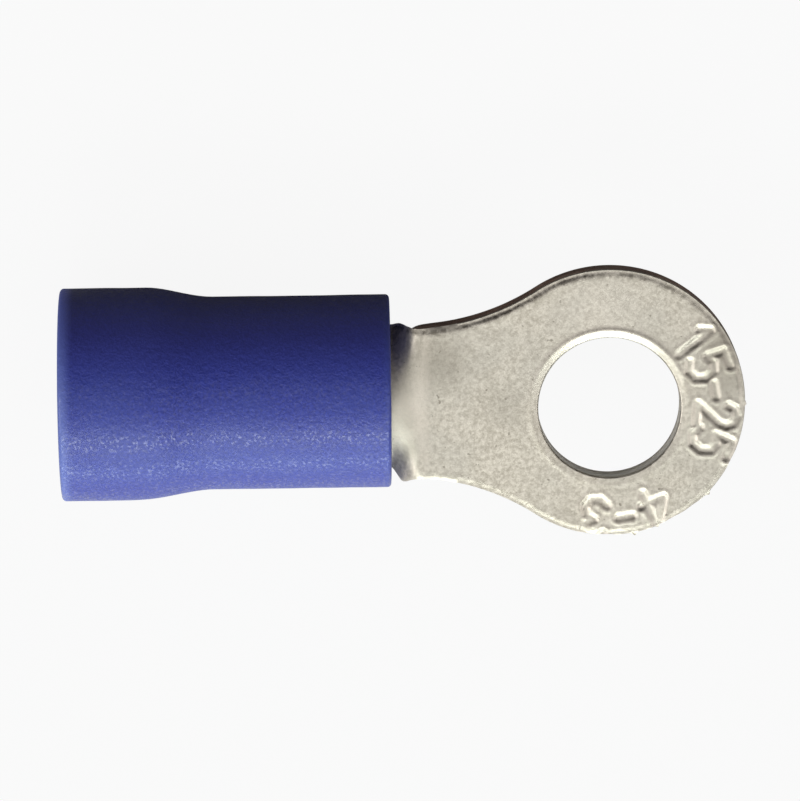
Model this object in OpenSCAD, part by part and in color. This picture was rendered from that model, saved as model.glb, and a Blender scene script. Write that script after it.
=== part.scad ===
// Insulated crimp ring terminal for a wire of 1.5 to 2.5 square millimetres and an M4 stud.
// The origin is the centre of the stud hole, half way through the sheet. +X runs out past
// the ring, the wire enters from -X, and +Z is the flat side, with the barrel's axis below it.

/* [Ring and tongue] */
// Thickness of the sheet that the terminal is stamped from
sheet_t = 0.8; // [0.6:0.05:1]
// Diameter of the stud hole
stud_hole_d = 4.3; // [3.7:0.1:5.3]
// Outside diameter of the ring
ring_d = 8.2; // [7.8:0.1:9.6]
// How far the punched hole sits off the terminal's centre line
punch_shift = 0.15; // [0:0.05:0.3]
// Width of the tongue where it leaves the neck
tongue_w = 4.6; // [4:0.1:5.2]
// Radius of the hollow curve from the tongue into the ring
blend_r = 7; // [4:0.5:9]
// Distance from the stud hole's centre to the front end of the sleeve
stud_to_sleeve = 6.6; // [6.4:0.1:9]

/* [Neck and barrel] */
// Length over which the flat tongue curls down into the round of the barrel
neck_curl_l = 0.9; // [0.7:0.1:1.4]
// How far the barrel's axis lies below the middle of the tongue's sheet
barrel_drop = 1.3; // [0.9:0.1:1.6]
// Bore of the wire barrel
barrel_bore_d = 2.6; // [2.3:0.1:3]
// Length of the wire barrel
barrel_l = 5.1; // [4.5:0.1:5.8]
// How far the barrel's front edge stays inside the sleeve
barrel_setback = 0.3; // [0.2:0.1:0.6]
// Radius in the corner between the neck and the barrel's front edge
wing_corner_r = 1; // [0.6:0.1:1.1]
// Depth of the bevel in the barrel's wire end
barrel_bevel = 0.3; // [0.1:0.05:0.4]
// Width of the closed seam's groove along the barrel
seam_w = 0.3; // [0.15:0.05:0.5]
// Depth of the closed seam's groove
seam_depth = 0.2; // [0.1:0.05:0.3]

/* [Strand grooves] */
// Number of grip grooves round the barrel's bore
groove_count = 3; // [2:1:4]
// Distance from one grip groove to the next
groove_pitch = 0.9; // [0.7:0.05:1]
// Width of a grip groove
groove_w = 0.35; // [0.2:0.05:0.5]
// Depth of a grip groove
groove_depth = 0.12; // [0.05:0.01:0.2]

/* [Sleeve] */
// Length of the insulating sleeve
sleeve_l = 10; // [9:0.1:12]
// Wall of the sleeve
sleeve_wall = 0.83; // [0.6:0.01:1]
// How much wider than the barrel the wire entry is, all round
entry_step = 0.3; // [0.15:0.05:0.6]
// Length of the sloping part between the wire entry and the barrel
flare_l = 2; // [1.2:0.1:2.2]
// Rounding of the sleeve's rims
rim_r = 0.12; // [0.05:0.01:0.2]

/* [Hidden] */
$fn = 96;

tin = [0.80, 0.77, 0.71];
vinyl_blue = [0.20, 0.22, 0.55];

// heights and radii
ring_r = ring_d / 2;
barrel_r = barrel_bore_d / 2 + sheet_t;
barrel_mid_r = barrel_r - sheet_t / 2;
grip_r = barrel_r + sleeve_wall;
entry_bore_r = barrel_r + entry_step;
entry_r = entry_bore_r + sleeve_wall;

// places along the terminal
sleeve_front = -stud_to_sleeve;
sleeve_back = sleeve_front - sleeve_l;
barrel_front = sleeve_front - barrel_setback;
barrel_back = barrel_front - barrel_l;
curl_start = sleeve_front + neck_curl_l;

// the hollow curve's centre touches the ring's circle and the tongue's straight side
blend_y = tongue_w / 2 + blend_r;
blend_x = -sqrt(pow(ring_r + blend_r, 2) - pow(blend_y, 2));
touch = [blend_x, blend_y] * ring_r / (ring_r + blend_r);

// the meshes of the neck and of the flare
neck_steps = 14;
across_steps = 26;
flare_steps = 10;
straight = 0.0001;  // a bend per millimetre that counts as none
neck_seat = 0.2;  // what the neck reaches into the tongue and into the barrel's wall
neck_inset = 0.02;  // how far the neck stays under the faces of both
clear = 0.5;  // what a cutter reaches past a face

// Half width of the flat tongue at x
function tongue_half(x) =
    x < blend_x ? tongue_w / 2 : blend_y - sqrt(pow(blend_r, 2) - pow(x - blend_x, 2));

// A smooth rise from 0 to 1
function ease(u) = u * u * (3 - 2 * u);

// Share of the barrel's curl that the sheet has at x
function curl(x) = ease(min(1, max(0, (curl_start - x) / neck_curl_l)));

// Half length of the sheet's section at x, measured along its middle line. It widens into
// the barrel's wings round the corner radius.
function sheet_half(x) =
    let (ahead = min(wing_corner_r, max(0, x - barrel_front)))
    tongue_half(x) + wing_corner_r - sqrt(pow(wing_corner_r, 2) - pow(wing_corner_r - ahead, 2));

// A point of the sheet's section at x, s along the middle line and h above it
function neck_point(x, s, h) =
    let (
        bend = curl(x) / barrel_mid_r,
        crown_z = curl(x) * (barrel_mid_r - barrel_drop),
        turn = bend * s * 180 / PI,
        mid = bend < straight ? [s, 0] : [sin(turn) / bend, (1 - cos(turn)) / bend]
    )
    [x, mid[0] + h * sin(turn), crown_z - mid[1] + h * cos(turn)];

// The section at x as a closed ring of points: along the top face, then back underneath
function neck_ring(x) =
    let (w = sheet_half(x) - neck_inset, h = sheet_t / 2 - neck_inset)
    concat(
        [for (i = [0:across_steps]) neck_point(x, w * (2 * i / across_steps - 1), h)],
        [for (i = [across_steps:-1:0]) neck_point(x, w * (2 * i / across_steps - 1), -h)]
    );

// Points of a smooth wall from [x0, r0] to [x1, r1], as [radius, place]
function flare(x0, r0, x1, r1) =
    [for (i = [0:flare_steps]) let (u = i / flare_steps) [r0 + (r1 - r0) * ease(u), x0 + (x1 - x0) * u]];

// Puts what is built on the terminal's centre line beside the punched hole
module on_line() translate([0, punch_shift, 0]) children();

// Turns a solid of revolution to the barrel's axis
module on_barrel_axis() translate([0, 0, -barrel_drop]) rotate([0, 90, 0]) children();

// The tongue's outline up to the ring
module tongue_outline() {
    side = concat([[curl_start, tongue_half(curl_start)]],
        curl_start < blend_x ? [[blend_x, tongue_w / 2]] : [],
        [touch, [0, touch[1]]]);
    difference() {
        polygon(concat(side, [for (i = [len(side) - 1:-1:0]) [side[i][0], -side[i][1]]]));
        for (s = [-1, 1]) translate([blend_x, s * blend_y]) circle(blend_r);
    }
}

// The flat sheet of ring and tongue
module flat_sheet() linear_extrude(sheet_t, center = true) {
    circle(ring_r);
    tongue_outline();
}

// The neck, which curls from the flat tongue into the round of the barrel
module neck() {
    first = curl_start + neck_seat;
    last = barrel_front - neck_seat;
    rings = [for (i = [0:neck_steps]) neck_ring(first + (last - first) * i / neck_steps)];
    n = len(rings[0]);
    first_cap = [for (i = [0:across_steps - 1]) each [[i, i + 1, n - 1 - i], [i + 1, n - 2 - i, n - 1 - i]]];
    last_cap = [for (f = first_cap) [for (j = [2:-1:0]) neck_steps * n + f[j]]];
    walls = [for (k = [0:neck_steps - 1], i = [0:n - 1]) each [
        [k * n + i, (k + 1) * n + i, k * n + (i + 1) % n],
        [k * n + (i + 1) % n, (k + 1) * n + i, (k + 1) * n + (i + 1) % n]
    ]];
    polyhedron(points = [for (ring = rings) each ring], faces = concat(first_cap, walls, last_cap));
}

// The groove of the closed seam along the underside of the barrel
module seam_groove() translate([barrel_back - clear, 0, -barrel_drop - barrel_r])
    rotate([90, 0, 90]) linear_extrude(barrel_l + 2 * clear)
        polygon([[0, seam_depth], [-seam_w / 2, 0], [-seam_w / 2, -clear], [seam_w / 2, -clear], [seam_w / 2, 0]]);

// The rolled barrel, with its grip grooves and the bevel in its wire end
module barrel() {
    bore_r = barrel_bore_d / 2;
    difference() {
        on_barrel_axis() difference() {
            translate([0, 0, barrel_back]) cylinder(h = barrel_l, r = barrel_r);
            translate([0, 0, barrel_back - clear]) cylinder(h = barrel_l + 2 * clear, r = bore_r);
            translate([0, 0, barrel_back - clear])
                cylinder(h = barrel_bevel + clear, r1 = bore_r + barrel_bevel + clear, r2 = bore_r);
            for (i = [0:groove_count - 1])
                translate([0, 0, (barrel_front + barrel_back) / 2 + (i - (groove_count - 1) / 2) * groove_pitch])
                    cylinder(h = groove_w, r = bore_r + groove_depth, center = true);
        }
        seam_groove();
    }
}

module terminal_body() color(tin) difference() {
    on_line() {
        flat_sheet();
        neck();
        barrel();
    }
    cylinder(h = sheet_t + 2 * clear, d = stud_hole_d, center = true);
}

// The sleeve's section: the outside from back to front, then the inside from front to back
module sleeve_section() {
    grip_back = barrel_back;
    flare_back = grip_back - flare_l;
    polygon(concat(
        [[entry_bore_r + rim_r, sleeve_back], [entry_r - rim_r, sleeve_back], [entry_r, sleeve_back + rim_r]],
        flare(flare_back, entry_r, grip_back, grip_r),
        [[grip_r, sleeve_front - rim_r], [grip_r - rim_r, sleeve_front], [barrel_r, sleeve_front]],
        flare(grip_back, barrel_r, flare_back, entry_bore_r),
        [[entry_bore_r, sleeve_back + rim_r]]
    ));
}

module insulating_sleeve() color(vinyl_blue) on_line() on_barrel_axis() rotate_extrude() sleeve_section();

terminal_body();
insulating_sleeve();
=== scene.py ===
import math
import bpy
import numpy as np
from mathutils import Matrix, Vector, noise


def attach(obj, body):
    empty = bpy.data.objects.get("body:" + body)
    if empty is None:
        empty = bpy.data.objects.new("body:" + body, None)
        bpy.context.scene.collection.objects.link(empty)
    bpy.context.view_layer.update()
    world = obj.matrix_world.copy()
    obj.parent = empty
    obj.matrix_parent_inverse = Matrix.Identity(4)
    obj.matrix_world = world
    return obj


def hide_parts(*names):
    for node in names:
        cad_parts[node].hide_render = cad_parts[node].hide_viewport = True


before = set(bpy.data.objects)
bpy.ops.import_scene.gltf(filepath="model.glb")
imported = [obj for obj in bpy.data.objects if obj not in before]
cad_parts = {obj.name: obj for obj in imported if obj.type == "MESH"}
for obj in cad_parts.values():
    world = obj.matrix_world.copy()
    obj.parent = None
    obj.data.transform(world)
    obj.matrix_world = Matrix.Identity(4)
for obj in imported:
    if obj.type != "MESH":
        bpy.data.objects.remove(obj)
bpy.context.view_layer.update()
mm = 0.001


def makeActive(item):
    for other in bpy.context.selected_objects:
        other.select_set(False)
    item.select_set(True)
    bpy.context.view_layer.objects.active = item
    return item


def applyModifier(item, kind, **settings):
    makeActive(item)
    modifier = item.modifiers.new(kind.lower(), kind)
    for key, value in settings.items():
        setattr(modifier, key, value)
    bpy.ops.object.modifier_apply(modifier=modifier.name)


def cleanMesh(item, gap=0.0005 * mm):
    makeActive(item)
    bpy.ops.object.mode_set(mode="EDIT")
    bpy.ops.mesh.select_all(action="SELECT")
    bpy.ops.mesh.remove_doubles(threshold=gap)
    bpy.ops.mesh.normals_make_consistent(inside=False)
    bpy.ops.object.mode_set(mode="OBJECT")


def meshObject(name, points, edges, faces):
    data = bpy.data.meshes.new(name)
    data.from_pydata([tuple(p) for p in points], edges, faces)
    data.update()
    item = bpy.data.objects.new(name, data)
    bpy.context.scene.collection.objects.link(item)
    return item


def shadeSmooth(item, smoothUnder):
    makeActive(item)
    bpy.ops.object.shade_smooth_by_angle(angle=math.radians(smoothUnder))
    print(item.name, sum(len(p.vertices) - 2 for p in item.data.polygons), "triangles")


def ease(t):
    return t * t * (3 - 2 * t)


def smooth(edgeLow, edgeHigh, value):
    return ease(np.clip((value - edgeLow) / (edgeHigh - edgeLow), 0, 1))


def bell(value, middle, width):
    return np.exp(-((value - middle) / width) ** 2)


def noiseAlong(places, scale, second, third):
    return np.array([noise.noise(Vector((p * scale, second, third))) for p in places])


# A shader value that can be added, multiplied and blended
class Flow:
    def __init__(self, tree, socket):
        self.tree, self.socket = tree, socket

    def make(self, kind, output=0, settings=None, **inputs):
        node = self.tree.nodes.new(kind)
        for key, value in (settings or {}).items():
            setattr(node, key, value)
        for key, value in inputs.items():
            if key.startswith("in") and key[2:].isdigit():
                slot = node.inputs[int(key[2:])]
            else:
                slot = next(s for s in node.inputs if s.name.replace(" ", "") == key and s.enabled)
            if isinstance(value, Flow):
                self.tree.links.new(value.socket, slot)
            else:
                slot.default_value = value
        named = isinstance(output, str)
        result = next(s for s in node.outputs if s.name == output) if named else node.outputs[output]
        return Flow(self.tree, result)

    def calc(self, operation, other):
        return self.make("ShaderNodeMath", settings={"operation": operation}, in0=self, in1=other)

    def __add__(self, other):
        return self.calc("ADD", other)

    __radd__ = __add__

    def __sub__(self, other):
        return self.calc("SUBTRACT", other)

    def __rsub__(self, other):
        return self.calc("MULTIPLY", -1.0).calc("ADD", other)

    def __mul__(self, other):
        return self.calc("MULTIPLY", other)

    __rmul__ = __mul__

    def ramp(self, low, high, start=0.0, end=1.0):
        return self.make("ShaderNodeMapRange", settings={"interpolation_type": "SMOOTHSTEP"},
                         Value=self, FromMin=low, FromMax=high, ToMin=start, ToMax=end)

    def blend(self, first, second):
        return self.make("ShaderNodeMix", output=2, settings={"data_type": "RGBA"},
                         in0=self, in6=first, in7=second)

    def noise(self, scale, detail=2.0, roughness=0.5):
        return self.make("ShaderNodeTexNoise", Vector=self, Scale=scale, Detail=detail, Roughness=roughness)

    def attribute(self, name):
        return self.make("ShaderNodeAttribute", output=2, settings={"attribute_name": name})

    def axis(self, index):
        return self.make("ShaderNodeSeparateXYZ", output=index, Vector=self)


def newMaterial(name):
    material = bpy.data.materials.new(name)
    material.use_nodes = True
    tree = material.node_tree
    shader = next(n for n in tree.nodes if n.type == "BSDF_PRINCIPLED")
    coordinates = tree.nodes.new("ShaderNodeTexCoord")
    return material, tree, shader, Flow(tree, coordinates.outputs["Object"])


# The stamped sheet: ring, tongue and neck. Lengths are in millimetres, x runs along the
# terminal, s is measured across the flat sheet and h is the height above its middle.
sheet = {
    "half": 0.4, "holeRadius": 2.15, "ringRadius": 4.1, "lineOffset": 0.15, "tongueHalf": 2.3,
    "blendRadius": 7.0, "sleeveFront": -6.6, "barrelFront": -6.9, "cornerRadius": 1.0,
    "curlLength": 0.9, "curlLead": 0.25, "curlPower": 1.75, "riseLead": 0.5, "riseTail": 0.1,
    "barrelMid": 1.7, "drop": 1.3, "barrelSide": -0.06,
    "cutLine": -4.6, "lastRow": -7.1, "outerRays": 540, "cutRays": 80, "rings": 56, "rows": 56,
    "wallRows": 9, "crowding": 0.09, "calmLength": 0.4, "edgeRadius": 0.02, "smoothUnder": 38,
    # the rolled edge of the outline: its size, and how it varies round the ring
    "rollWidth": 0.21, "rollDepth": 0.042, "rollStart": 0.05, "rollMean": 0.85,
    "rollWaves": [(0.3, 3.1, 0.8), (0.12, 11, 0)], "rollLimits": (0.5, 1.7),
    # the rolled edge and the lip of the hole
    "holeRollWidth": 0.175, "holeRollDepth": 0.043, "holeRollPower": 1.25,
    "mouthWidth": 0.05, "mouthDepth": 0.04, "lipHeight": 0.028, "lipPlace": 0.25, "lipWidth": 0.07,
    # the cut edge: a smooth upper zone, and a torn lower zone that stands back
    "tornFrom": (0.45, 0.6), "outerRecess": 0.012, "holeRecess": 0.045, "tornRough": 0.014, "streak": 0.006,
    "burrHeight": 0.03, "burrWidth": 0.03,
    # how far the two sides of the neck stand out at each x
    "wingPlaces": [-6.85, -6.62, -6.56, -6.47, -6.38, -6.26, -6.14, -6.02, -5.87, -5.6],
    "upperWing": [0, 0.13, 0.14, 0.09, 0.03, -0.03, -0.04, 0.01, 0.02, 0],
    "lowerWing": [0, -0.12, -0.13, -0.13, -0.12, -0.12, -0.06, -0.01, 0, 0],
    "notchPlace": -5.95, "notchWidth": 0.22, "notchDepth": 0.05,
    # painted shade beside the rim, stronger on the upper side, and on the upper side of the neck, and the
    # worn stretch of the neck
    "grimeInset": 0.15, "grimeWidth": 0.10, "wornFrom": (-5.7, -6.2),
    "neckGrime": 0.45, "neckGrimePlace": -6.65, "neckGrimeLength": 0.25,
}
blendY = sheet["tongueHalf"] + sheet["blendRadius"]
blendX = -math.sqrt((sheet["ringRadius"] + sheet["blendRadius"]) ** 2 - blendY ** 2)
touchX = blendX * sheet["ringRadius"] / (sheet["ringRadius"] + sheet["blendRadius"])
touchAngle = math.atan2(blendY, blendX)
curlStart = sheet["sleeveFront"] + sheet["curlLength"]

# burrs and notches where the marks run off the rim: degrees, width and size
burrs = [(-78.5, 0.9, 0.1), (-68.0, 0.8, 0.07), (-41.5, 1.0, 0.08), (1.5, 0.6, 0.05),
         (-90, 3, -0.03), (-60, 7, -0.05), (-50, 4, -0.03), (-24, 3, -0.02)]

# darker and brighter patches, partly uneven tin tone and partly painted light and shade on the neck, tongue
# and ring: x, y, reach and change
toneAndShadePatches = [(-5.1, 1.45, 0.9, -0.27), (-3.4, 0.1, 0.9, -0.12), (-0.3, 2.95, 1.6, 0.15),
          (3.4, 0.8, 0.9, -0.20), (3.1, -0.9, 0.8, -0.12), (-2.6, -0.3, 0.8, -0.06),
          (-1.2, -3.4, 0.7, -0.12), (-6.1, -1.2, 0.4, -0.2), (3.4, 2.0, 0.7, -0.26),
          (1.6, 1.6, 0.5, -0.16), (-6.15, 0.2, 0.4, 0.2)]

# plain figures as strokes in a cell 0.6 wide and 1 high
figures = {
    "1": [(0.12, 0.78), (0.32, 1.0), (0.32, 0.0)],
    "2": [(0.02, 0.78), (0.1, 0.94), (0.28, 1.0), (0.46, 0.94), (0.54, 0.76), (0.48, 0.58), (0.02, 0.0),
          (0.56, 0.0)],
    "3": [(0.04, 0.86), (0.18, 1.0), (0.38, 1.0), (0.52, 0.86), (0.5, 0.66), (0.3, 0.54), (0.5, 0.44),
          (0.56, 0.24), (0.44, 0.04), (0.2, 0.0), (0.02, 0.14)],
    "4": [(0.44, 0.0), (0.44, 1.0), (0.0, 0.3), (0.6, 0.3)],
    "5": [(0.52, 1.0), (0.1, 1.0), (0.06, 0.56), (0.28, 0.64), (0.48, 0.56), (0.56, 0.32), (0.46, 0.08),
          (0.24, 0.0), (0.02, 0.1)],
    "-": [(0.06, 0.48), (0.42, 0.48)],
}
marks = {
    "rows": [
        {"text": "15-25", "start": 46.0, "end": -27.0, "foot": 2.66, "depth": 0.05},
        {"text": "4-3", "start": -57.0, "end": -106.0, "foot": 2.84, "depth": 0.05},
    ],
    "height": 1.2, "pitch": 0.82, "dashPitch": 0.7, "middle": 0.3, "dashMiddle": 0.24,
    "groove": (0.03, 0.17), "rimPlace": 0.2, "rimWidth": 0.05, "rimShare": 0.25,
}


def outlineHalf(x):
    ring = np.sqrt(np.maximum(sheet["ringRadius"] ** 2 - x * x, 0))
    hollow = blendY - np.sqrt(np.maximum(sheet["blendRadius"] ** 2 - (x - blendX) ** 2, 0))
    corner = sheet["cornerRadius"]
    ahead = np.clip(x - sheet["barrelFront"], 0, corner)
    wing = corner - np.sqrt(corner ** 2 - (corner - ahead) ** 2)
    return np.where(x > touchX, ring, np.where(x > blendX, hollow, sheet["tongueHalf"]) + wing)


def edgeDistance(x, s):
    angle = np.arctan2(np.abs(s), x)
    fromRing = sheet["ringRadius"] - np.hypot(x, s)
    fromHollow = np.hypot(x - blendX, np.abs(s) - blendY) - sheet["blendRadius"]
    fromSide = outlineHalf(x) - np.abs(s)
    fromTongue = np.where(x > blendX, np.minimum(fromHollow, fromSide + 0.3), fromSide)
    return np.where(angle < touchAngle, fromRing, fromTongue)


# Distance from the hole's centre to the outline, found by halving
def rayLength(angle):
    low, high = np.full_like(angle, 1.0), np.full_like(angle, 8.0)
    for _ in range(40):
        mid = (low + high) / 2
        x, s = mid * np.cos(angle), -sheet["lineOffset"] + mid * np.sin(angle)
        inside = (x > sheet["cutLine"]) & (np.abs(s) < outlineHalf(x))
        low, high = np.where(inside, mid, low), np.where(inside, high, mid)
    return low


# Distance from the points (u, v) to the strokes of a figure
def strokeDistance(u, v, line):
    best = np.full_like(u, 9.0)
    for (ax, ay), (bx, by) in zip(line, line[1:]):
        dx, dy = bx - ax, by - ay
        t = np.clip(((u - ax) * dx + (v - ay) * dy) / (dx * dx + dy * dy), 0, 1)
        best = np.minimum(best, np.hypot(u - ax - t * dx, v - ay - t * dy))
    return best


def markDepth(x, y):
    depth = np.zeros_like(x)
    radius, angle = np.hypot(x, y), np.degrees(np.arctan2(y, x))
    for row in marks["rows"]:
        widths = [marks["dashPitch"] if c == "-" else marks["pitch"] for c in row["text"]]
        pitch = (row["end"] - row["start"]) / sum(widths)
        used, best = 0.0, np.full_like(x, 9.0)
        for letter, width in zip(row["text"], widths):
            middle = row["start"] + (used + width / 2) * pitch
            used += width
            turn = np.radians((angle - middle + 180) % 360 - 180)
            across = -np.sin(turn) * radius / marks["height"]
            up = (np.cos(turn) * radius - row["foot"]) / marks["height"]
            across = across + (marks["dashMiddle"] if letter == "-" else marks["middle"])
            best = np.minimum(best, strokeDistance(across, up, figures[letter]) * marks["height"])
        groove = 1 - smooth(*marks["groove"], best)
        rim = bell(best, marks["rimPlace"], marks["rimWidth"])
        depth = depth + row["depth"] * (groove - rim * marks["rimShare"])
    return depth * (0.85 + 0.3 * np.sin(5.3 * x + 2.1 * y) * np.sin(4.1 * y - 1.3 * x))


def rimRoll(inward, around):
    waves = sum(size * np.sin(rate * around + lag) for size, rate, lag in sheet["rollWaves"])
    strength = (sheet["rollMean"] + waves) * (0.8 + 0.3 * smooth(0.7, 1.5, around))
    strength = np.clip(strength, *sheet["rollLimits"]) * (1 - 0.4 * smooth(0, -0.5, around))
    ragged = (noiseAlong(around, 14, 0.2, 3.1) + 0.6 * noiseAlong(around, 40, 1.2, 0.1)) * 0.5
    width = sheet["rollWidth"] * (1 + 0.25 * ragged)
    roll = 1 - smooth(sheet["rollStart"], width, inward)
    return roll * sheet["rollDepth"] * strength * (1 + 0.5 * ragged)


# How far the hole's rolled edge lies under the flat face. It is stronger on the +Y side.
def holeRoll(fromHole, around):
    bias = 0.56 + 0.44 * np.sin(around)
    roll = np.clip(1 - fromHole / sheet["holeRollWidth"], 0, 1) ** sheet["holeRollPower"]
    mouth = np.clip(1 - fromHole / sheet["mouthWidth"], 0, 1) ** 2 * sheet["mouthDepth"]
    lip = sheet["lipHeight"] * bell(fromHole, sheet["lipPlace"], sheet["lipWidth"]) * bias
    return roll * sheet["holeRollDepth"] * bias + mouth - lip


def topHeight(x, s):
    y = s + sheet["lineOffset"]
    inward, around, edge = edgeDistance(x, s), np.arctan2(y, x), sheet["edgeRadius"]
    rounding = edge - np.sqrt(np.maximum(edge ** 2 - np.clip(edge - inward, 0, edge) ** 2, 0))
    fromHole = np.hypot(x, y) - sheet["holeRadius"]
    return sheet["half"] - rimRoll(inward, around) - rounding - holeRoll(fromHole, around) - markDepth(x, y)


# Turns points of the flat sheet into the neck's curl
def bendSheet(x, s, h):
    lead = sheet["curlLead"]
    curl = ease(np.clip((curlStart + lead - x) / (sheet["curlLength"] + lead), 0, 1) ** sheet["curlPower"])
    rise = smooth(curlStart + sheet["riseLead"], sheet["sleeveFront"] - sheet["riseTail"], x)
    bend = np.maximum(curl / sheet["barrelMid"], 1e-6)
    turn = bend * s
    y = np.sin(turn) / bend + h * np.sin(turn) + curl * sheet["barrelSide"]
    z = rise * (sheet["barrelMid"] - sheet["drop"]) - (1 - np.cos(turn)) / bend + h * np.cos(turn)
    upper = np.interp(x, sheet["wingPlaces"], sheet["upperWing"])
    lower = np.interp(x, sheet["wingPlaces"], sheet["lowerWing"])
    y = y + np.where(s > 0, upper, lower) * np.clip(np.abs(s) / sheet["tongueHalf"], 0, 1) ** 3
    return np.stack([x, y + sheet["lineOffset"], z], axis=-1)


def quads(table, wrap=False):
    a, b = table[:-1], table[1:]
    if wrap:
        a2, b2 = np.roll(a, -1, axis=1), np.roll(b, -1, axis=1)
        return np.stack([a, b, b2, a2], axis=-1).reshape(-1, 4)
    return np.stack([a[:, :-1], b[:, :-1], b[:, 1:], a[:, 1:]], axis=-1).reshape(-1, 4)


# Rays from the hole to the outline, and across the line where the tongue's grid takes over
def outlineRays():
    cut, offset = sheet["cutLine"], sheet["lineOffset"]
    halfAtCut = float(outlineHalf(np.array([cut]))[0])
    lower, upper = math.atan2(offset - halfAtCut, cut), math.atan2(offset + halfAtCut, cut)
    outer = np.linspace(lower, upper, sheet["outerRays"] + 1)
    across = np.linspace(halfAtCut, -halfAtCut, sheet["cutRays"] + 1)[1:-1]
    angles = np.concatenate([outer, np.arctan2(across + offset, cut) % (2 * math.pi)])
    reach = rayLength(angles)
    reach[sheet["outerRays"] + 1:] = np.hypot(cut, across + offset)
    for place, width, size in burrs:
        reach += size * bell(np.degrees(angles), place, width)
    return angles, reach, halfAtCut


# The flat grid: rings round the hole, then rows along the tongue
def flatGrid():
    angles, reach, halfAtCut = outlineRays()
    count, outer = len(angles), sheet["outerRays"]
    even = np.linspace(0, 1, sheet["rings"] + 1)
    share = (even - sheet["crowding"] * np.sin(2 * math.pi * even))[:, None]
    radius = sheet["holeRadius"] + (reach[None, :] - sheet["holeRadius"]) * share
    ringX = radius * np.cos(angles)[None, :]
    ringS = radius * np.sin(angles)[None, :] - sheet["lineOffset"]
    columns = [outer] + list(range(outer + 1, count)) + [0]
    rowX = np.linspace(sheet["cutLine"], sheet["lastRow"], sheet["rows"] + 1)[1:]
    rowS = ringS[-1, columns][None, :] * (outlineHalf(rowX) / halfAtCut)[:, None]
    notch = sheet["notchDepth"] * bell(rowX, sheet["notchPlace"], sheet["notchWidth"])[:, None]
    rowS = rowS - notch * np.clip(rowS / sheet["tongueHalf"], 0, 1) ** 3
    ringIndex = np.arange(ringX.size).reshape(ringX.shape)
    rowIndex = ringX.size + np.arange(rowS.size).reshape(rowS.shape)
    flatX = np.concatenate([ringX.ravel(), np.repeat(rowX, len(columns))])
    flatS = np.concatenate([ringS.ravel(), rowS.ravel()])
    tongueIndex = np.concatenate([ringIndex[-1:, columns], rowIndex])
    faces = np.concatenate([quads(ringIndex, wrap=True), quads(tongueIndex)])
    sideBack = rowIndex[::-1, -1][1:]
    outline = np.concatenate([ringIndex[-1, :outer + 1], rowIndex[:, 0], rowIndex[-1, 1:], sideBack])
    return flatX, flatS, faces, ringIndex[0], outline


# One row of the cut edge at depth t, pushed in or out of the edge. Side 1 is the hole, -1 the outline.
def edgeRow(x, s, t, side):
    stepX, stepS = np.roll(x, -1) - np.roll(x, 1), np.roll(s, -1) - np.roll(s, 1)
    length = np.maximum(np.hypot(stepX, stepS), 1e-9)
    along = np.cumsum(np.hypot(x - np.roll(x, 1), s - np.roll(s, 1)))
    torn, size = smooth(*sheet["tornFrom"], t), len(x)
    rough, streak = noiseAlong(along, 9, t * 5, size), noiseAlong(along, 22, 0.3, size * 0.5)
    recess = sheet["outerRecess"] if side < 0 else sheet["holeRecess"]
    push = sheet["streak"] * (1 - torn) * streak - torn * (recess + sheet["tornRough"] * rough)
    push = side * push * smooth(sheet["sleeveFront"] - sheet["calmLength"], sheet["sleeveFront"], x)
    bare = (0.55 + 0.45 * torn) if side < 0 else 0.1 + 0.2 * torn
    return x - stepS / length * push, s + stepX / length * push, bare if t > 0.08 else bare * 0.5


# Values at the points that the tin's material reads
def surfaceMaps(x, s):
    y, around = s + sheet["lineOffset"], np.arctan2(s, x)
    # painted shade just inside the rim, stronger on the upper side
    nearRim = bell(edgeDistance(x, s), sheet["grimeInset"], sheet["grimeWidth"])
    nearRim = nearRim * (0.3 + 0.4 * smooth(0.5, 1.4, around))
    # painted shade on the upper side of the neck beside the sleeve
    sideDark = sheet["neckGrime"] * bell(x, sheet["neckGrimePlace"], sheet["neckGrimeLength"])
    sideDark = sideDark * smooth(0.6, 1.9, s)
    # uneven tone mixed with painted light and shade from the patches
    toneAndShade = sum(change * np.exp(-(np.hypot(x - cx, y - cy) / reach) ** 2) for cx, cy, reach, change in toneAndShadePatches)
    return {"grime": np.clip(nearRim + sideDark, 0, 1), "toneAndShade": toneAndShade, "worn": smooth(*sheet["wornFrom"], x)}


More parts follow.
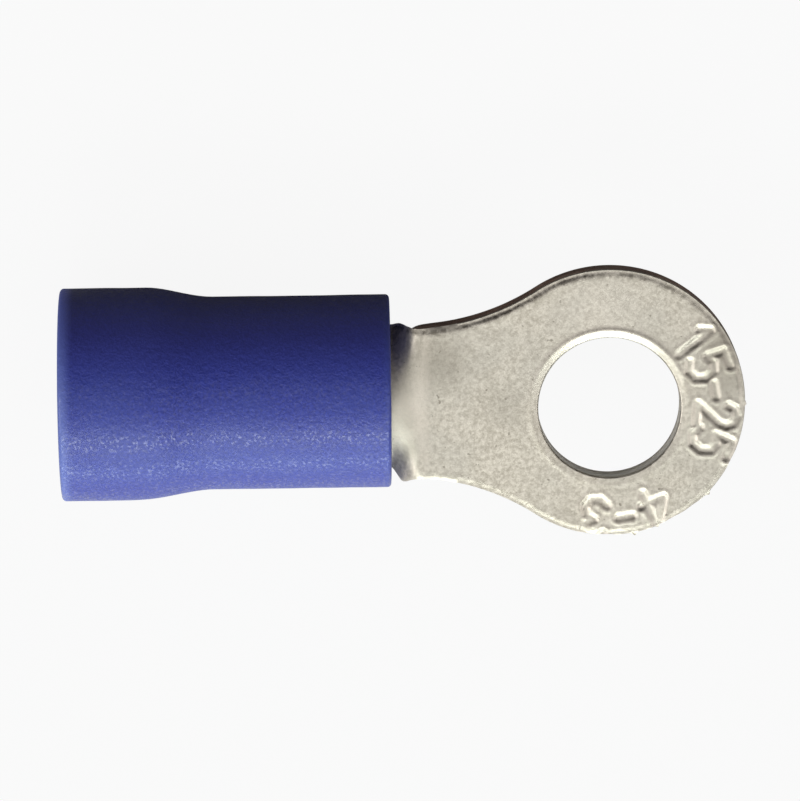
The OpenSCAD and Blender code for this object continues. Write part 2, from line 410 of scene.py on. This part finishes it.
def buildSheet():
    flatX, flatS, faces, hole, outline = flatGrid()
    total, half, edge = len(flatX), sheet["half"], sheet["edgeRadius"]
    calm = smooth(sheet["sleeveFront"] - sheet["calmLength"], sheet["sleeveFront"], flatX)
    top = half - edge + (topHeight(flatX, flatS) - half + edge) * calm
    burr = sheet["burrHeight"] * bell(np.maximum(edgeDistance(flatX, flatS), 0), 0, sheet["burrWidth"])
    low = -half + edge * (1 - calm) + burr
    pointsX, pointsS, pointsH = [flatX, flatX], [flatS, flatS], [top, low]
    wall, bore = [np.zeros(2 * total)], [np.zeros(2 * total)]
    allFaces, offset = [faces, faces[:, ::-1] + total], 2 * total
    for loop, side in ((hole, 1), (outline, -1)):
        size, table = len(loop), [loop]
        for k in range(1, sheet["wallRows"]):
            t = k / sheet["wallRows"]
            x, s, bare = edgeRow(flatX[loop], flatS[loop], t, side)
            pointsX.append(x)
            pointsS.append(s)
            pointsH.append(top[loop] + (low[loop] - top[loop]) * t)
            wall.append(np.full(size, bare))
            bore.append(np.full(size, 1.0 if side > 0 else 0.0))
            table.append(offset + np.arange(size))
            offset += size
        walls = quads(np.array(table + [loop + total]), wrap=True)
        allFaces.append(walls if side < 0 else walls[:, ::-1])
    points = bendSheet(np.concatenate(pointsX), np.concatenate(pointsS), np.concatenate(pointsH)) * mm
    item = meshObject("terminal", points, [], np.concatenate(allFaces).tolist())
    maps = {"wall": np.concatenate(wall), "bore": np.concatenate(bore)}
    for name, values in surfaceMaps(flatX, flatS).items():
        maps[name] = np.concatenate([values, np.zeros(len(points) - total)])
    for name, values in maps.items():
        layer = item.data.attributes.new(name, "FLOAT", "POINT")
        layer.data.foreach_set("value", values.astype(np.float32))
    return item


terminal = buildSheet()
print("sheet", len(terminal.data.vertices), "points")

# The rolled barrel inside the sleeve
barrel = {
    "front": sheet["barrelFront"], "back": -12.0, "outer": 2.1, "bore": 1.3, "bevel": 0.3, "steps": 96,
    "grooves": 3, "pitch": 0.9, "grooveHalf": 0.175, "grooveDepth": 0.12,
    "axisY": sheet["lineOffset"], "axisZ": -sheet["drop"],
}


# A closed profile of (x, radius) points, turned about the barrel's axis
def spinProfile(name, profile, steps):
    count = len(profile)
    edges = [(i, (i + 1) % count) for i in range(count)]
    item = meshObject(name, [(x * mm, 0, r * mm) for x, r in profile], edges, [])
    applyModifier(item, "SCREW", axis="X", steps=steps, render_steps=steps, use_merge_vertices=True,
                  merge_threshold=0.001 * mm)
    item.data.transform(Matrix.Translation((0, barrel["axisY"] * mm, barrel["axisZ"] * mm)))
    cleanMesh(item)
    return item


def barrelProfile():
    front, back, bore, bevel = barrel["front"], barrel["back"], barrel["bore"], barrel["bevel"]
    points = [(back, barrel["outer"]), (front, barrel["outer"]), (front, bore)]
    deep, wide = bore + barrel["grooveDepth"], barrel["grooveHalf"]
    for i in range(barrel["grooves"]):
        place = (front + back) / 2 + ((barrel["grooves"] - 1) / 2 - i) * barrel["pitch"]
        points += [(place + wide, bore), (place + wide, deep), (place - wide, deep), (place - wide, bore)]
    return points + [(back + bevel, bore), (back, bore + bevel)]


barrelMesh = spinProfile("barrel", barrelProfile(), barrel["steps"])
makeActive(terminal)
barrelMesh.select_set(True)
bpy.ops.object.join()
cleanMesh(terminal)
shadeSmooth(terminal, sheet["smoothUnder"])
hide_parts("terminal_body")
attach(terminal, "root")

# The vinyl sleeve
sleeve = {
    "front": sheet["sleeveFront"], "back": -16.6, "grip": barrel["outer"], "gripOuter": 2.95,
    "entry": 2.4, "entryOuter": 3.25, "flareStart": barrel["back"], "flareEnd": -14.0, "flareSteps": 12,
    "rim": 0.12, "rimSteps": 5, "boreRim": 0.06,
    "entryRows": 12, "gripRows": 24, "steps": 144, "skew": 0.55, "shift": 0.035, "smoothUnder": 50,
    # slight unevenness of the outside
    "softScale": 0.35, "softSize": 0.018, "fineScale": 1.3, "fineSize": 0.007, "shrink": 0.012,
    "slack": 0.05, "slackPlace": -13.5, "slackLength": 0.8, "outsideFrom": 0.4,
}


def flarePoints(x0, r0, x1, r1):
    shares = [i / sleeve["flareSteps"] for i in range(sleeve["flareSteps"] + 1)]
    return [(x0 + (x1 - x0) * t, r0 + (r1 - r0) * ease(t)) for t in shares]


def sleeveProfile():
    front, back, rim = sleeve["front"], sleeve["back"], sleeve["rim"]
    start, end, grip = sleeve["flareStart"], sleeve["flareEnd"], sleeve["gripOuter"]
    entry = sleeve["entryOuter"]
    turns = [math.radians(90 * i / sleeve["rimSteps"]) for i in range(sleeve["rimSteps"] + 1)]
    points = [(back + rim - rim * math.cos(a), entry - rim + rim * math.sin(a)) for a in turns]
    for i in range(1, sleeve["entryRows"]):
        points.append((back + rim + (end - back - rim) * i / sleeve["entryRows"], entry))
    points += flarePoints(end, entry, start, grip)
    for i in range(1, sleeve["gripRows"]):
        points.append((start + (front - rim - start) * i / sleeve["gripRows"], grip))
    points += [(front - rim + rim * math.sin(a), grip - rim + rim * math.cos(a)) for a in turns]
    points += [(front, sleeve["grip"] + sleeve["boreRim"]), (front - sleeve["boreRim"], sleeve["grip"])]
    points += flarePoints(start, sleeve["grip"], end, sleeve["entry"])
    for a in (math.radians(30 * i) for i in range(4)):
        points.append((back + rim - rim * math.sin(a), sleeve["entry"] + rim - rim * math.cos(a)))
    return points


def unevenSleeve(item):
    axis = Vector((0, barrel["axisY"], barrel["axisZ"]))
    soft, fine = sleeve["softScale"], sleeve["fineScale"]
    for vertex in item.data.vertices:
        place = vertex.co / mm
        out = Vector((0, place.y - axis.y, place.z - axis.z))
        radius = out.length
        if radius > sleeve["grip"] + sleeve["outsideFrom"]:
            softPlace = Vector((place.x * soft, out.y / radius * 0.9, out.z / radius * 0.9))
            finePlace = Vector((place.x * fine, out.y * 0.8, out.z * 0.8 + 5))
            change = noise.noise(softPlace) * sleeve["softSize"]
            change += noise.noise(finePlace) * sleeve["fineSize"]
            near = math.exp(-((place.x - sleeve["slackPlace"]) / sleeve["slackLength"]) ** 2)
            change -= sleeve["shrink"] + sleeve["slack"] * near * max(0, -out.y / radius)
            out = out * ((radius + change) / radius)
        vertex.co = Vector((place.x, axis.y + out.y, axis.z + out.z)) * mm
    pivot = Matrix.Translation((sleeve["front"] * mm, barrel["axisY"] * mm, 0))
    skewed = pivot @ Matrix.Rotation(math.radians(sleeve["skew"]), 4, "Z") @ pivot.inverted()
    item.data.transform(Matrix.Translation((0, sleeve["shift"] * mm, 0)) @ skewed)


sleeveMesh = spinProfile("sleeve", sleeveProfile(), sleeve["steps"])
unevenSleeve(sleeveMesh)
shadeSmooth(sleeveMesh, sleeve["smoothUnder"])
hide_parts("insulating_sleeve")
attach(sleeveMesh, "root")

tin = {
    "dark": (0.56, 0.51, 0.42, 1), "light": (0.80, 0.735, 0.64, 1), "cloud": (0.56, 0.53, 0.47, 1),
    # the pale and dull colours carry painted light and painted shade as well as uneven tin tone
    "speck": (0.22, 0.19, 0.15, 1), "bright": (0.93, 0.86, 0.76, 1), "dull": (0.36, 0.325, 0.27, 1),
    "grime": (0.10, 0.085, 0.065, 1), "bore": (0.80, 0.75, 0.67, 1),
    "copperDark": (0.30, 0.175, 0.12, 1), "copperLight": (0.58, 0.36, 0.26, 1),
    "copperStretch": (0.5, 0.5, 1.0),
    "roughness": (0.34, 0.50), "wallRough": 0.08, "wornRough": 0.2, "bump": 0.7, "bumpHeight": 0.016 * mm,
}


def tinMaterial():
    material, tree, shader, place = newMaterial("tin")
    wall, bore, toneAndShade = place.attribute("wall"), place.attribute("bore"), place.attribute("toneAndShade")
    mottle = place.noise(9000.0, 5.0, 0.7)
    face = mottle.ramp(0.28, 0.72).blend(tin["dark"], tin["light"])
    face = place.noise(420.0, 3.0).ramp(0.35, 0.7, 0.0, 0.4).blend(face, tin["cloud"])
    face = place.noise(6500.0, 1.0).ramp(0.73, 0.78, 0.0, 0.6).blend(face, tin["speck"])
    # painted highlight and painted shade from the patches, mixed with uneven tin tone
    face = toneAndShade.ramp(0.0, 0.2, 0.0, 0.3).blend(face, tin["bright"])
    face = toneAndShade.ramp(-0.3, 0.0, 0.62, 0.0).blend(face, tin["dull"])
    ragged = place.noise(4200.0, 4.0, 0.65).ramp(0.44, 0.62)
    # painted shade with a ragged edge, darkening the rim band and the upper side of the neck
    face = (place.attribute("grime") * (ragged * 0.85 + 0.1)).blend(face, tin["grime"])
    stretched = place.make("ShaderNodeMapping", Vector=place, Scale=tin["copperStretch"])
    copper = stretched.noise(1500.0, 3.0, 0.6).ramp(0.35, 0.7).blend(tin["copperDark"], tin["copperLight"])
    # painted light: the hole's wall is blended to a pale colour and made mostly non-metallic so it looks lit
    colour = bore.blend(wall.ramp(0.2, 0.5).blend(face, copper), tin["bore"])
    metal = 1.0 - bore * 0.9 - wall * 0.45
    rough = mottle.ramp(0.3, 0.7, *tin["roughness"]) + wall * tin["wallRough"]
    rough = rough + place.attribute("worn") * tin["wornRough"]
    height = mottle * 0.5 + place.noise(2600.0, 3.0) * 0.5
    bump = place.make("ShaderNodeBump", Height=height, Strength=tin["bump"], Distance=tin["bumpHeight"])
    tree.links.new(colour.socket, shader.inputs["Base Color"])
    tree.links.new(metal.socket, shader.inputs["Metallic"])
    tree.links.new(rough.socket, shader.inputs["Roughness"])
    tree.links.new(bump.socket, shader.inputs["Normal"])
    return material


vinyl = {
    "dark": (0.018, 0.030, 0.250, 1), "light": (0.033, 0.052, 0.375, 1), "cloud": (0.04, 0.065, 0.34, 1),
    "upper": (0.085, 0.085, 0.34, 1), "rim": (0.125, 0.175, 0.44, 1), "through": (0.016, 0.018, 0.085, 1),
    # the rim colour over these ranges is painted light on the rounded ends
    "backRim": (-16.6 * mm, -16.15 * mm), "frontRim": (-6.95 * mm, -6.62 * mm),
    # upperSide is where the painted light on the sleeve's upper side fades in
    "upperSide": (0.2 * mm, 2.8 * mm),
    "roughness": 0.40, "specular": 0.54, "coatRoughness": 0.23, "bumpHeight": 0.028 * mm,
}


def vinylMaterial():
    material, tree, shader, place = newMaterial("vinyl")
    grain = place.noise(13000.0, 3.0, 0.6)
    backRim = place.axis(0).ramp(*vinyl["backRim"], 1.0, 0.0)
    frontRim = place.axis(0).ramp(*vinyl["frontRim"])
    base = grain.ramp(0.3, 0.7).blend(vinyl["dark"], vinyl["light"])
    base = place.noise(500.0, 3.0).ramp(0.35, 0.7, 0.0, 0.35).blend(base, vinyl["cloud"])
    # painted light: the upper side is blended towards a paler, redder blue
    base = (place.axis(1).ramp(*vinyl["upperSide"]) * 0.5).blend(base, vinyl["upper"])
    # painted light: pale bands on the rounded rims at both ends
    base = (backRim * 0.8 + frontRim * 0.15).blend(base, vinyl["rim"])
    # painted glow: emission that stands in for light coming through the thin rim of the wire entry
    through = backRim.blend((0, 0, 0, 1), vinyl["through"])
    glint = place.noise(10500.0, 2.0, 0.65).ramp(0.53, 0.64, 0.0, 0.9)
    height = grain * 0.55 + place.noise(5500.0, 2.0) * 0.6
    bump = place.make("ShaderNodeBump", Height=height, Strength=1.0, Distance=vinyl["bumpHeight"])
    tree.links.new(base.socket, shader.inputs["Base Color"])
    tree.links.new(through.socket, shader.inputs["Emission Color"])
    tree.links.new(glint.socket, shader.inputs["Coat Weight"])
    tree.links.new(bump.socket, shader.inputs["Normal"])
    shader.inputs["Emission Strength"].default_value = 1.0
    shader.inputs["Roughness"].default_value = vinyl["roughness"]
    shader.inputs["Specular IOR Level"].default_value = vinyl["specular"]
    shader.inputs["Coat Roughness"].default_value = vinyl["coatRoughness"]
    return material


for item, material in ((terminal, tinMaterial()), (sleeveMesh, vinylMaterial())):
    item.data.materials.clear()
    item.data.materials.append(material)
print("materials done")

# Floor, light and camera. A lamp has its direction, width, height, power and colour.
stage = {
    "floorZ": -4.56, "floorSize": 4.0, "paper": 0.964, "plain": 0.8, "shadowShare": 0.05,
    "bounce": (0.14, 0.95), "bounceFrom": (0.008, -0.012), "mirrorFrom": (-0.004, -0.014),
    "ambient": (0.012, 0.007, 0.008),
    "target": (-6.32, 0.165, 0.0), "tilt": 12.4, "distance": 178.0, "cameraX": -9.17, "lens": 264.6,
    "lampDistance": 0.5,
}


def upward(degrees):
    return (0, -math.cos(math.radians(degrees)), math.sin(math.radians(degrees)))


lamps = {
    "over": (upward(88), 0.5, 0.46, 0.48, (1, 1, 1)),
    "key": (upward(38), 0.5, 0.42, 0.66, (0.94, 1.0, 0.97)),
    "gleam": (upward(45), 0.5, 0.12, 1.0, (0.93, 1.0, 0.96)),
    "low": (upward(5), 0.5, 0.18, 1.3, (0.84, 0.95, 1.0)),
    "left": ((-0.74, -0.19, 0.64), 0.3, 0.3, 0.95, (1, 1, 1)),
    "right": ((0.74, -0.19, 0.64), 0.3, 0.3, 0.5, (1, 1, 1)),
}


# White to the camera, a dim card to the light that it sends back
def floorMaterial():
    material, tree, shader, place = newMaterial("paper")
    camera = place.make("ShaderNodeLightPath", output="Is Camera Ray")
    mirrored = place.make("ShaderNodeLightPath", output="Is Glossy Ray")
    paper, plain = stage["paper"], stage["plain"]
    glow = place.make("ShaderNodeEmission", Color=(paper, paper, paper, 1), Strength=1.0)
    shaded = place.make("ShaderNodeBsdfDiffuse", Color=(plain, plain, plain, 1))
    dark, light = (place.make("ShaderNodeBsdfDiffuse", Color=(v, v, v, 1)) for v in stage["bounce"])
    across = place.axis(1)
    dim = place.make("ShaderNodeMixShader", in0=across.ramp(*stage["bounceFrom"]), in1=dark, in2=light)
    shine = mirrored * across.ramp(*stage["mirrorFrom"])
    around = place.make("ShaderNodeMixShader", in0=shine, in1=dim, in2=glow)
    seen = place.make("ShaderNodeMixShader", in0=stage["shadowShare"], in1=glow, in2=shaded)
    both = place.make("ShaderNodeMixShader", in0=camera, in1=around, in2=seen)
    output = next(n for n in tree.nodes if n.type == "OUTPUT_MATERIAL")
    tree.links.new(both.socket, output.inputs["Surface"])
    tree.nodes.remove(shader)
    return material


for item in bpy.context.selected_objects:
    item.select_set(False)
bpy.ops.mesh.primitive_plane_add(size=stage["floorSize"], location=(0, 0, stage["floorZ"] * mm))
floor = bpy.context.object
floor.name = "floor"
floor.data.materials.append(floorMaterial())

world = bpy.data.worlds.new("room")
bpy.context.scene.world = world
world.use_nodes = True
world.node_tree.nodes["Background"].inputs["Color"].default_value = (*stage["ambient"], 1)

target = Vector(stage["target"]) * mm
for name, (direction, width, height, power, colour) in lamps.items():
    data = bpy.data.lights.new(name, "AREA")
    data.shape, data.size, data.size_y = "RECTANGLE", width, height
    data.energy, data.color = power, colour
    lamp = bpy.data.objects.new(name, data)
    bpy.context.scene.collection.objects.link(lamp)
    lamp.location = target + Vector(direction).normalized() * stage["lampDistance"]
    lamp.rotation_mode = "QUATERNION"
    lamp.rotation_quaternion = (lamp.location - target).to_track_quat("Z", "Y")

tilt = math.radians(stage["tilt"])
eye = target + Vector((0, math.sin(tilt), math.cos(tilt))) * stage["distance"] * mm
eye.x = stage["cameraX"] * mm
back = (eye - target).normalized()
right = Vector((0, 1, 0)).cross(back).normalized()
cameraData = bpy.data.cameras.new("camera")
camera = bpy.data.objects.new("camera", cameraData)
bpy.context.scene.collection.objects.link(camera)
turned = Matrix((right, back.cross(right), back)).transposed().to_4x4()
camera.matrix_world = Matrix.Translation(eye) @ turned
cameraData.lens, cameraData.sensor_width = stage["lens"], 36
cameraData.clip_start, cameraData.clip_end = 0.01, 10
bpy.context.scene.camera = camera
bpy.context.scene.view_settings.view_transform = "Standard"
print("stage done")
